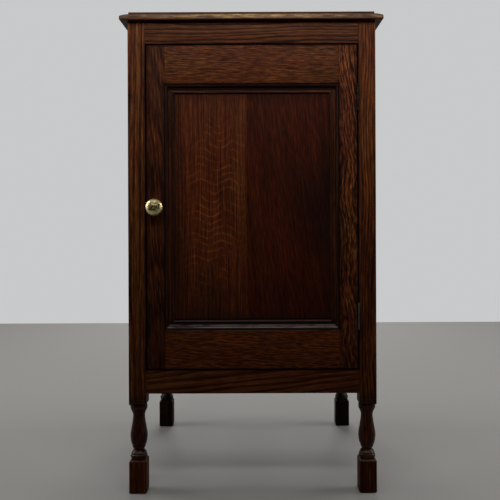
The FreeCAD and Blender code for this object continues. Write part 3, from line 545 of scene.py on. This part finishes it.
def metal(name, colour, worn, roughness):
    """Aged metal whose tarnish and scuffs vary over the surface."""
    material = bpy.data.materials.new(name)
    material.use_nodes = True
    g = Graph(material.node_tree)
    shader = material.node_tree.nodes["Principled BSDF"]
    place = g.add("ShaderNodeTexCoord").outputs["Object"]
    patches = g.span(g.noise(place, TARNISH_FINENESS, detail=4.0, roughness=0.6), *TARNISH_LIMITS)
    scuffs = g.noise(place, SCUFF_FINENESS)
    g.feed(shader.inputs["Base Color"], g.mix(patches, (*colour, 1), (*worn, 1)))
    g.feed(shader.inputs["Roughness"], g.math("MULTIPLY_ADD", scuffs, SCUFF_MATT, roughness))
    shader.inputs["Metallic"].default_value = 1.0
    bump = g.add("ShaderNodeBump", {**SCUFF_RELIEF, "Height": scuffs})
    g.feed(shader.inputs["Normal"], bump.outputs[0])
    return material


# The bright line on the lower hinge, partly wear and partly a painted highlight: half widths in metres where
# it starts to fade and ends, strengths there
KNUCKLE_LINE = (0.0001, 0.0007, 0.85, 0.0)
KNUCKLE_FINENESS = (300, 300, 90)
KNUCKLE_BREAKS = (0.3, 0.55)
KNUCKLE_COLOUR = (0.3, 0.28, 0.28, 1)


def knuckle_highlight(material):
    """Hinge metal with a thin bright line down the crest of its knuckles, partly wear and partly a painted
    highlight.
    """
    g = Graph(material.node_tree)
    shader = material.node_tree.nodes["Principled BSDF"]
    dark = shader.inputs["Base Color"].links[0].from_socket
    place = g.add("ShaderNodeTexCoord").outputs["Object"]
    low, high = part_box("lower_hinge_pin")
    away = g.math("ABSOLUTE", g.math("SUBTRACT", g.split(place)[0], (low.x + high.x) / 2))
    broken = g.span(g.noise(place, KNUCKLE_FINENESS, detail=3.0), *KNUCKLE_BREAKS)
    line = g.math("MULTIPLY", g.span(away, *KNUCKLE_LINE), broken)
    g.feed(shader.inputs["Base Color"], g.mix(line, dark, KNUCKLE_COLOUR))
    return material


# The dull patch on the knob, partly tarnish and partly a painted dark reflection: rise over the centre,
# squash, ragged edge, radii where it fades and ends
DULL_RISE = 0.0018
DULL_SQUASH = (1, 0, 1.45)
DULL_RAGGEDNESS = 0.012
DULL_RADII = (0.0105, 0.0138)
DULL_FINENESS = (260, 260, 260)
DULL_SPOTS = (0.38, 0.66, 0.98, 0.62)
DULL_COLOUR = (0.03, 0.019, 0.004, 1)
DULL_MATT = 0.28


def tarnish_and_dark_reflection(material):
    """The knob's brass, dull and spotted over the middle of its face: partly tarnish, partly a painted dark
    reflection.
    """
    g = Graph(material.node_tree)
    shader = material.node_tree.nodes["Principled BSDF"]
    bright = shader.inputs["Base Color"].links[0].from_socket
    smooth = shader.inputs["Roughness"].links[0].from_socket
    place = g.add("ShaderNodeTexCoord").outputs["Object"]
    low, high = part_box("knob")
    centre = (low + high) / 2 + Vector((0, 0, DULL_RISE))
    off = g.vector("MULTIPLY", g.vector("SUBTRACT", place, centre).outputs[0], DULL_SQUASH).outputs[0]
    radius = g.vector("LENGTH", off).outputs["Value"]
    spots = g.noise(place, DULL_FINENESS, detail=3.0, roughness=0.6)
    ragged = g.math("MULTIPLY_ADD", g.math("SUBTRACT", spots, NOISE_MIDDLE), DULL_RAGGEDNESS, radius)
    face = g.span(ragged, *DULL_RADII, 1.0, 0.0)
    dull = g.math("MULTIPLY", face, g.span(spots, *DULL_SPOTS))
    g.feed(shader.inputs["Base Color"], g.mix(dull, bright, DULL_COLOUR))
    g.feed(shader.inputs["Roughness"], g.math("MULTIPLY_ADD", dull, DULL_MATT, smooth))
    return material


def new_object(name, mesh_data, material):
    piece = bpy.data.objects.new(name, mesh_data)
    bpy.context.scene.collection.objects.link(piece)
    piece.data.materials.append(material)
    return piece


def loft(name, rings, material):
    """A closed skin through rings of as many points each."""
    form = bmesh.new()
    loops = [[form.verts.new(point) for point in ring] for ring in rings]
    count = len(rings[0])
    for lower, upper in zip(loops, loops[1:]):
        for i in range(count):
            j = (i + 1) % count
            form.faces.new((lower[i], lower[j], upper[j], upper[i]))
    form.faces.new(loops[0][::-1])
    form.faces.new(loops[-1])
    bmesh.ops.recalc_face_normals(form, faces=form.faces)
    data = bpy.data.meshes.new(name)
    form.to_mesh(data)
    form.free()
    data.polygons.foreach_set("use_smooth", [True] * len(data.polygons))
    data.set_sharp_from_angle(angle=math.radians(SHARP_ANGLE))
    return new_object(name, data, material)


def rounded_outline(half_a, half_b, radius):
    """Points round a rectangle with rounded corners, from the first corner on."""
    points = []
    for sign_a, sign_b, start in ((1, 1, 0), (-1, 1, 90), (-1, -1, 180), (1, -1, 270)):
        for step in range(CORNER_STEPS + 1):
            angle = math.radians(start + 90 * step / CORNER_STEPS)
            a = sign_a * (half_a - radius) + radius * math.cos(angle)
            b = sign_b * (half_b - radius) + radius * math.sin(angle)
            points.append((a, b))
    return points


def stepped(outline, half_a, half_b, side, width, depth):
    """The outline with a step taken out of its upper corner on one side."""
    start = 0 if side > 0 else CORNER_STEPS + 1
    step = [
        (side * half_a, half_b - depth),
        (side * (half_a - width), half_b - depth),
        (side * (half_a - width), half_b),
    ]
    outline[start : start + CORNER_STEPS + 1] = step if side > 0 else step[::-1]
    return outline


def worn_arris(arris, along, first, second):
    """The arris at a place on a piece, unevenly worn."""
    point = Vector((along * ARRIS_WEAR_ALONG, first * ARRIS_WEAR_ACROSS, second * ARRIS_WEAR_ACROSS))
    return arris * (1 + ARRIS_WEAR * noise.noise(point))


def board(node, low, high, grain, arris, material, body, step=None):
    """A plank in place of a node: its long arrises are rounded and worn unevenly."""
    axis = "xyz".index(grain)
    first, second = [i for i in range(3) if i != axis]
    centre = (low + high) / 2
    half = (high - low) / 2
    length = high[axis] - low[axis]
    count = max(2, round(length / STATION_STEP))
    stations = [(0, END_ARRIS), (END_ARRIS, 0)]
    stations += [(length * index / count, 0) for index in range(1, count)]
    stations += [(length - END_ARRIS, 0), (length, END_ARRIS)]
    rings = []
    for distance, inset in stations:
        radius = worn_arris(arris, distance, centre[first], centre[second])
        half_a, half_b = half[first] - inset, half[second] - inset
        outline = rounded_outline(half_a, half_b, radius)
        if step:
            outline = stepped(outline, half_a, half_b, *step)
        ring = []
        for a, b in outline:
            point = Vector()
            point[axis] = low[axis] + distance
            point[first] = centre[first] + a
            point[second] = centre[second] + b
            ring.append(point)
        rings.append(ring)
    piece = loft(f"{node}_wood", rings, material)
    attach(piece, body)
    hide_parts(node)


def leg_profile():
    """Radius and height of the turned length, in millimetres over the block foot."""
    points = [(LEG_SEAT_RADIUS, 0.0)]
    for height, far_radius, bulge in LEG_ELEMENTS:
        radius, level = points[-1]
        for step in range(1, ARC_STEPS + 1):
            share = step / ARC_STEPS
            swell = bulge * 4 * share * (1 - share)
            points.append((radius + (far_radius - radius) * share + swell, level + height * share))
    return points


def post(node, body, woods):
    """A corner post in place of its node: square length, turned leg and block foot, each of its own wood."""
    right = "right" in node
    rear = "rear" in node
    centre = Vector((POST_CENTRE_X if right else -POST_CENTRE_X, POST_REAR_Y if rear else POST_FRONT_Y))

    def dense(half, arris):
        """Points round a square with rounded corners, closely set along its sides."""
        outline = [Vector(point) for point in rounded_outline(half, half, arris)]
        points = []
        for i, here in enumerate(outline):
            points.append(here)
            if i % (CORNER_STEPS + 1) == CORNER_STEPS:
                there = outline[(i + 1) % len(outline)]
                along = (there - here).normalized() * half / POST_HALF
                points += [(here + there) / 2 + along * mark for mark in SIDE_MARKS]
        return points

    def rebated(point):
        """The point, turned in across the corner where the rebate is."""
        inward = -point.x if right else point.x
        across = (inward - POST_HALF) / REBATE_WIDTH + 1
        deep = (point.y - POST_HALF) / REBATE_DEPTH + 1
        if across <= 0 or deep <= 0:
            return point
        inward = POST_HALF - REBATE_WIDTH * deep
        return Vector((-inward if right else inward, POST_HALF - REBATE_DEPTH * across))

    def square(level, half, arris, rebate=False):
        ring = []
        for point in dense(half, arris):
            x, y = rebated(point) if rebate else point
            ring.append(Vector((centre.x + x * MM, centre.y + y * MM, level * MM)))
        return ring

    def circle(level, radius):
        """A turned ring with as many points as a square one."""
        ring = []
        for x, y in dense(POST_HALF, ROUND_ARRIS):
            angle = math.atan2(y, x)
            across = radius * MM * math.cos(angle)
            deep = radius * MM * math.sin(angle)
            ring.append(Vector((centre.x + across, centre.y + deep, level * MM)))
        return ring

    def worn(level, arris):
        return worn_arris(arris, level * MM, centre.x, centre.y)

    rings = [square(0, POST_HALF - FOOT_BEVEL, FOOT_ARRIS), square(FOOT_BEVEL, POST_HALF, FOOT_ARRIS)]
    for level in range(FOOT_RING_STEP, int(FOOT_HEIGHT), FOOT_RING_STEP):
        rings.append(square(level, POST_HALF, worn(level, FOOT_ARRIS)))
    leg_base = FOOT_HEIGHT + FOOT_CHAMFER
    rings.append(square(FOOT_HEIGHT, POST_HALF, FOOT_ARRIS))
    rings.append(square(leg_base, POST_HALF - FOOT_CHAMFER, FOOT_ARRIS))
    profile = leg_profile()
    rings += [circle(leg_base + level, radius) for radius, level in profile]
    leg_top = leg_base + profile[-1][1]
    rings.append(square(leg_top, POST_HALF - POST_CHAMFER, POST_ARRIS))
    rings.append(square(leg_top + POST_CHAMFER, POST_HALF, POST_ARRIS))
    if rear:
        rings.append(square(REBATE_BOTTOM, POST_HALF, POST_ARRIS))
        rings.append(square(REBATE_BOTTOM, POST_HALF, POST_ARRIS, rear))
    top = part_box(node)[1].z / MM
    level = REBATE_BOTTOM + POST_RING_STEP / 2
    while level < top - POST_RING_STEP / 2:
        rings.append(square(level, POST_HALF, worn(level, POST_ARRIS), rear))
        level += POST_RING_STEP
    rings.append(square(top, POST_HALF, POST_ARRIS, rear))
    piece = loft(f"{node}_wood", rings, woods[0])
    for wood in woods[1:]:
        piece.data.materials.append(wood)
    for face in piece.data.polygons:
        height = face.center.z / MM
        if height < leg_base:
            face.material_index = FOOT_WOOD
        elif height < leg_top + POST_CHAMFER:
            face.material_index = LEG_WOOD
    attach(piece, body)
    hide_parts(node)


def dress(node, material):
    nodes[node].material_slots[0].material = material


# Darker low on the front, partly grime and partly painted shade towards the floor: height where it is
# strongest, height where it ends, strength
POST_GRIME_AND_SHADE = ((0.165, 0.2, 0.6), (0.15, 0.4, 0.22))
DOOR_GRIME_AND_SHADE = ((0.2, 0.48, 0.35),)

# Pale bands on the crests: wear, and on the legs, the feet and the door's bottom rail also a painted
# highlight, and along the bottom moulding a painted sheen: height, reach, strength
LEG_WEAR_AND_HIGHLIGHT = (
    (0.0704, 0.001, 0.7),
    (0.0738, 0.0018, 0.35),
    (0.0845, 0.0012, 0.15),
    (0.1572, 0.0012, 0.15),
    (0.1618, 0.001, 0.22),
)
FOOT_WEAR_AND_HIGHLIGHT = ((0.0605, 0.002, 0.5),)
MOULDING_PAINTED_SHEEN = ((0.3067, 0.002, 0.85), (0.3099, 0.002, 1.0), (0.3174, 0.0009, 0.35))
DOOR_RAIL_WEAR_AND_HIGHLIGHT = {"top": (), "bottom": ((0.3013, 0.0011, 0.5),)}
POST_WEAR = ((0.1678, 0.0011, 0.16), (0.1724, 0.0011, 0.16))

# Darker patches of stain on the door panel: x, z, half width, half height, strength
PANEL_STAINS = {
    "left": ((-0.15, 0.45, 0.05, 0.24, 0.45), (-0.08, 0.33, 0.11, 0.11, 0.4)),
    "right": ((0.125, 0.53, 0.075, 0.14, 0.6), (0.07, 0.36, 0.1, 0.07, 0.2)),
}

# Ray fleck on the left panel board: x of its axis, height of its middle, strength
PANEL_FLECKS = (-0.074, 0.535, 0.32)

# Share of the joints' dirt and painted shade on the posts and rails of the carcass
FRONT_DIRT_AND_SHADE = {"front": 0.9, "rear": 0}


def posts():
    tones = {"left": (1.35, 1.2, 1.0), "right": (1.42, 1.32, 1.15)}
    # The rear legs and feet are darkened as painted shade
    leg_tones_and_rear_shade = {"front": (0.62, 0.46, 0.4), "rear": (0.2, 0.15, 0.15)}
    foot_gain = {"left": (1.9, 2.2, 2.0), "right": (1.1, 1.1, 1.0)}
    wear_and_highlights = {"front": (POST_WEAR, LEG_WEAR_AND_HIGHLIGHT, FOOT_WEAR_AND_HIGHLIGHT), "rear": ((), (), ())}
    square_look = {"ring": 0.0048, "rings": 0.3, "grime_and_shade": POST_GRIME_AND_SHADE}
    leg_look = {"ring": 0.0042, "rings": 0.1, "gloss": 0.1, "roughness": 0.2}
    foot_look = {"ring": 0.0042, "rings": 0.2, "gloss": 0.05}
    for place, seed in (("front_left", 1.0), ("front_right", 2.3), ("rear_left", 3.1), ("rear_right", 4.7)):
        node = f"{place}_post"
        end, hand = place.split("_")
        shaded = leg_tones_and_rear_shade[end]
        foot_tone = [gain * part for gain, part in zip(foot_gain[hand], shaded)]
        post_wear, leg_wear_and_highlight, foot_wear_and_highlight = wear_and_highlights[end]
        shared = {"seed": seed, "dirt_and_shade": FRONT_DIRT_AND_SHADE[end], "lines": 0.8, "dashes": 0.8}
        wood = oak(f"oak_{node}", "z", tones[hand], wear_and_highlights=post_wear, **square_look, **shared)
        leg = oak(f"oak_{place}_leg", "z", shaded, wear_and_highlights=leg_wear_and_highlight, **leg_look, **shared)
        foot = oak(f"oak_{place}_foot", "z", foot_tone, wear_and_highlights=foot_wear_and_highlight, **foot_look, **shared)
        post(node, "carcass", (wood, leg, foot))


def carcass():
    inner = POST_CENTRE_X - POST_HALF * MM
    rail = {
        "top": {"tone": (0.98, 0.95, 0.88), "ring": 0.0064, "rings": 0.38, "turn": (0, 1, 1), "seed": 5.2},
        "bottom": {"tone": (1.2, 1.2, 1.1), "ring": 0.0095, "rings": 0.3, "turn": (0, 1, -6), "seed": 6.4},
    }
    side_rail = {"ring": 0.006, "rings": 0.4, "turn": (0, 2, 1)}
    side_panel = {"ring": 0.009, "rings": 0.3, "lines": 0.7, "turn": (0, 1.5, 0)}
    floor_low, floor_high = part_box("bottom_board")

    def floor_step(level, side, width, high):
        return (side, width, high.z - floor_low.z) if level == "bottom" else None

    for level, look in rail.items():
        for end in ("front", "rear"):
            node = f"{end}_{level}_rail"
            low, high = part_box(node)
            low.x, high.x = -inner, inner
            wood = oak(f"oak_{node}", "x", lines=0.5, dashes=0.55, dirt_and_shade=FRONT_DIRT_AND_SHADE[end], **look)
            side = 1 if end == "front" else -1
            width = high.y - floor_low.y if end == "front" else floor_high.y - low.y
            board(node, low, high, "x", RAIL_ARRIS, wood, "carcass", floor_step(level, side, width, high))
    for hand, seed in (("left", 7.1), ("right", 8.9)):
        for level in ("top", "bottom"):
            node = f"{hand}_{level}_rail"
            low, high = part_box(node)
            low.y = POST_FRONT_Y + POST_HALF * MM
            high.y = POST_REAR_Y - POST_HALF * MM
            wood = oak(f"oak_{node}", "y", seed=seed + len(level), dirt_and_shade=0, **side_rail)
            side = 1 if hand == "left" else -1
            width = high.x - floor_low.x if hand == "left" else floor_high.x - low.x
            board(node, low, high, "y", RAIL_ARRIS, wood, "carcass", floor_step(level, side, width, high))
        node = f"{hand}_side_panel"
        wood = oak(f"oak_{node}", "z", seed=seed, dirt_and_shade=0, **side_panel)
        board(node, *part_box(node), "z", SIDE_PANEL_ARRIS, wood, "carcass")
    dress("top_board", worn_top())


def door_frame():
    stile = {
        "left": {
            "tone": (0.78, 0.64, 0.6),
            "ring": 0.004,
            "rings": 0.2,
            "lines": 0.9,
            "dashes": 1.1,
            "turn": (0, 2, 4),
            "seed": 11.0,
        },
        "right": {
            "tone": (1.36, 1.2, 1.12),
            "ring": 0.0075,
            "rings": 0.33,
            "lines": 0.6,
            "dashes": 1.5,
            "mottle": 0.7,
            "wander": 0.14,
            "turn": (0, 2, 2),
            "stretch": (1.7, 0.9, 0.9),
            "seed": 12.6,
        },
    }
    for hand, look in stile.items():
        node = f"door_{hand}_stile"
        wood = oak(f"oak_{node}", "z", grime_and_shade=DOOR_GRIME_AND_SHADE, **look)
        board(node, *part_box(node), "z", RAIL_ARRIS, wood, "door")
    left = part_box("door_left_stile")[1].x
    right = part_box("door_right_stile")[0].x
    rail = {
        "top": {"tone": (1.35, 1.24, 1.05), "seed": 13.3},
        "bottom": {"tone": (1.48, 1.24, 1.0), "seed": 14.9},
    }
    dashed = {
        "ring": 0.005,
        "rings": 0.1,
        "lines": 0.7,
        "dashes": 0.95,
        "mottle": 0.15,
        "turn": (0, 4, 2),
        "stretch": (1.3, 1.6, 1.6),
    }
    for level, look in rail.items():
        node = f"door_{level}_rail"
        low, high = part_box(node)
        low.x, high.x = left, right
        wood = oak(f"oak_{node}", "x", wear_and_highlights=DOOR_RAIL_WEAR_AND_HIGHLIGHT[level], **dashed, **look)
        board(node, low, high, "x", RAIL_ARRIS, wood, "door")


def door_panel():
    panel = {
        "left": {
            "tone": (1.32, 1.02, 0.9),
            "lines": 0.75,
            "dashes": 0.6,
            "mottle": 0.12,
            "seed": 15.2,
            "flecks": PANEL_FLECKS,
        },
        "right": {
            "tone": (0.78, 0.44, 0.38),
            "lines": 0.45,
            "dashes": 0.8,
            "mottle": 0.2,
            "turn": (0, 0, 9),
            "seed": 16.8,
        },
    }
    even = {"ring": 0.0043, "rings": 0.04, "wander": 0.012, "pith": (0.4, 0.02), "stretch": (1, 1.35, 1.35)}
    for hand, look in panel.items():
        node = f"door_panel_{hand}_board"
        wood = oak(f"oak_{node}", "z", stains=PANEL_STAINS[hand], **even, **look)
        board(node, *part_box(node), "z", DOOR_PANEL_ARRIS, wood, "door")
    # The pale lines along the bottom moulding are a painted sheen
    painted_sheen_look = {"gloss": 0.12, "wear_and_highlights": MOULDING_PAINTED_SHEEN, "worn": PAINTED_SHEEN_COLOUR}
    moulding = {
        "left": {"grain": "z", "tone": (0.82, 0.7, 0.9), "seed": 21},
        "right": {"grain": "z", "tone": (0.82, 0.7, 0.9), "seed": 22},
        "top": {"grain": "x", "tone": (1.15, 1.05, 1.1), "seed": 23},
        "bottom": {"grain": "x", "tone": (1.0, 0.82, 0.9), "seed": 24, **painted_sheen_look},
    }
    for place, look in moulding.items():
        node = f"door_{place}_moulding"
        dress(node, oak(f"oak_{node}", rings=0.1, roughness=0.32, **look))


DIVIDERS_IN_TIER = 5


def inside():
    plain = {"tone": (2.4, 2.7, 3.2), "rings": 0.2, "lines": 0.7, "mottle": 0.25, "wander": 0.03, "dirt_and_shade": 0}
    across = oak("oak_inside_across", "x", ring=0.007, turn=(0, 2, 1), seed=31, **plain)
    upright = oak("oak_inside_upright", "z", ring=0.009, seed=33, **plain)
    for node in ("bottom_board", "inner_top", "record_shelf", "top_glue_blocks"):
        dress(node, across)
    for node in ("back_panel", "door_stop"):
        dress(node, upright)
    for hand in ("left", "right"):
        dress(f"{hand}_shelf_bearer", across)
    for tier in ("upper", "lower"):
        for index in range(DIVIDERS_IN_TIER):
            dress(f"{tier}_divider_{index + 1}", upright)


# Metals: colour, worn colour, roughness
HINGE_METAL = ((0.007, 0.0055, 0.004), (0.022, 0.016, 0.01), 0.42)
STEEL = ((0.25, 0.24, 0.22), (0.16, 0.14, 0.12), 0.4)
BRASS = ((0.78, 0.67, 0.36), (0.6, 0.48, 0.2), 0.12)


def fittings():
    iron = {
        "upper": metal("aged_hinge_metal", *HINGE_METAL),
        # The lower hinge's bright knuckle line is partly a painted highlight
        "lower": knuckle_highlight(metal("hinge_metal_painted_highlight", *HINGE_METAL)),
    }
    steel = metal("dull_steel", *STEEL)
    brass = metal("worn_brass", *BRASS)
    for tier in ("upper", "lower"):
        for piece in ("post_leaf", "door_leaf", "pin"):
            dress(f"{tier}_hinge_{piece}", iron[tier])
    for node in ("hinge_post_screws", "hinge_door_screws", "back_panel_screws"):
        dress(node, steel)
    for node in ("knob_spindle", "spindle_collar", "latch_tongue", "latch_nut"):
        dress(node, steel)
    # The knob's dark middle is partly tarnish, partly a painted dark reflection
    dress("knob", tarnish_and_dark_reflection(brass))


# Sheets of the studio, in metres: the floor, and a dark upright one in front that the camera doesn't see
FLOOR_HALF = 2.4
FLOOR_FRONT = -2
FLOOR_REAR = 1.61
FLOOR_COLOUR = (0.31, 0.3, 0.285)
DARK_HALF = 8
DARK_Y = -3.4
DARK_TOP = 2.8
DARK_COLOUR = (0.06, 0.055, 0.05)
SHEET_ROUGHNESS = 0.8


def sheet(name, corners, colour):
    """A plain matt sheet of the studio."""
    material = bpy.data.materials.new(name)
    material.use_nodes = True
    shader = material.node_tree.nodes["Principled BSDF"]
    shader.inputs["Base Color"].default_value = (*colour, 1)
    shader.inputs["Roughness"].default_value = SHEET_ROUGHNESS
    form = bmesh.new()
    form.faces.new([form.verts.new(point) for point in corners])
    data = bpy.data.meshes.new(name)
    form.to_mesh(data)
    form.free()
    piece = new_object(name, data, material)
    return piece


def studio():
    near = [(x, FLOOR_FRONT, 0) for x in (-FLOOR_HALF, FLOOR_HALF)]
    far = [(x, FLOOR_REAR, 0) for x in (FLOOR_HALF, -FLOOR_HALF)]
    sheet("floor", near + far, FLOOR_COLOUR)
    foot = [(x, DARK_Y, 0) for x in (-DARK_HALF, DARK_HALF)]
    head = [(x, DARK_Y, DARK_TOP) for x in (DARK_HALF, -DARK_HALF)]
    dark = sheet("dark_side", foot + head, DARK_COLOUR)
    dark.visible_camera = False


# Plain background: its colour where it is seen or mirrored, and the strength of the light it gives
WALL_COLOUR = (0.58, 0.585, 0.59, 1)
AMBIENT_STRENGTH = 0.06

# Lamps: name, place, aim, width and height in metres, power in watts
LAMPS = (
    ("key", (0, -0.85, 1.2), (0, -0.19, 1.3), (1.2, 0.4), 12),
    ("fill_left", (-2.4, 0.1, 1.5), (0, 0, 0.5), (1.0, 1.8), 24),
    ("fill_right", (2.4, 0.1, 1.5), (0, 0, 0.5), (1.0, 1.8), 24),
    ("fill_back", (0, 2.4, 1.7), (0, 0, 0.5), (1.8, 1.2), 36),
)


def lamp(name, at, towards, size, power):
    data = bpy.data.lights.new(name, "AREA")
    data.shape = "RECTANGLE"
    data.size, data.size_y = size
    data.energy = power
    item = bpy.data.objects.new(name, data)
    bpy.context.scene.collection.objects.link(item)
    item.location = at
    item.rotation_euler = (Vector(towards) - Vector(at)).to_track_quat("-Z", "Y").to_euler()
    item.visible_camera = False


def light():
    world = bpy.data.worlds.new("studio")
    bpy.context.scene.world = world
    world.use_nodes = True
    tree = world.node_tree
    tree.nodes.clear()
    g = Graph(tree)
    path = g.add("ShaderNodeLightPath").outputs
    seen = g.math("MAXIMUM", path["Is Camera Ray"], path["Is Glossy Ray"])
    seen = g.math("MAXIMUM", seen, path["Is Transmission Ray"])
    ambient = {"Color": (1, 1, 1, 1), "Strength": AMBIENT_STRENGTH}
    lit = g.add("ShaderNodeBackground", ambient).outputs[0]
    wall = g.add("ShaderNodeBackground", {"Color": WALL_COLOUR, "Strength": 1.0}).outputs[0]
    mixed = g.add("ShaderNodeMixShader", {0: seen, 1: lit, 2: wall}).outputs[0]
    g.add("ShaderNodeOutputWorld", {"Surface": mixed})
    for settings in LAMPS:
        lamp(*settings)


def camera():
    data = bpy.data.cameras.new("camera")
    data.sensor_width = CAMERA_SENSOR
    data.lens = CAMERA_LENS
    data.shift_x, data.shift_y = CAMERA_SHIFT
    item = bpy.data.objects.new("camera", data)
    bpy.context.scene.collection.objects.link(item)
    level = Matrix.Rotation(math.radians(90), 4, "X")
    roll = Matrix.Rotation(math.radians(CAMERA_ROLL), 4, "Z")
    item.matrix_world = Matrix.Translation(CAMERA_AT) @ level @ roll
    bpy.context.scene.camera = item


figure_group()
joint_dirt_and_shade_group()
posts()
carcass()
door_frame()
door_panel()
inside()
fittings()
studio()
light()
camera()
bpy.context.scene.view_settings.view_transform = "Standard"
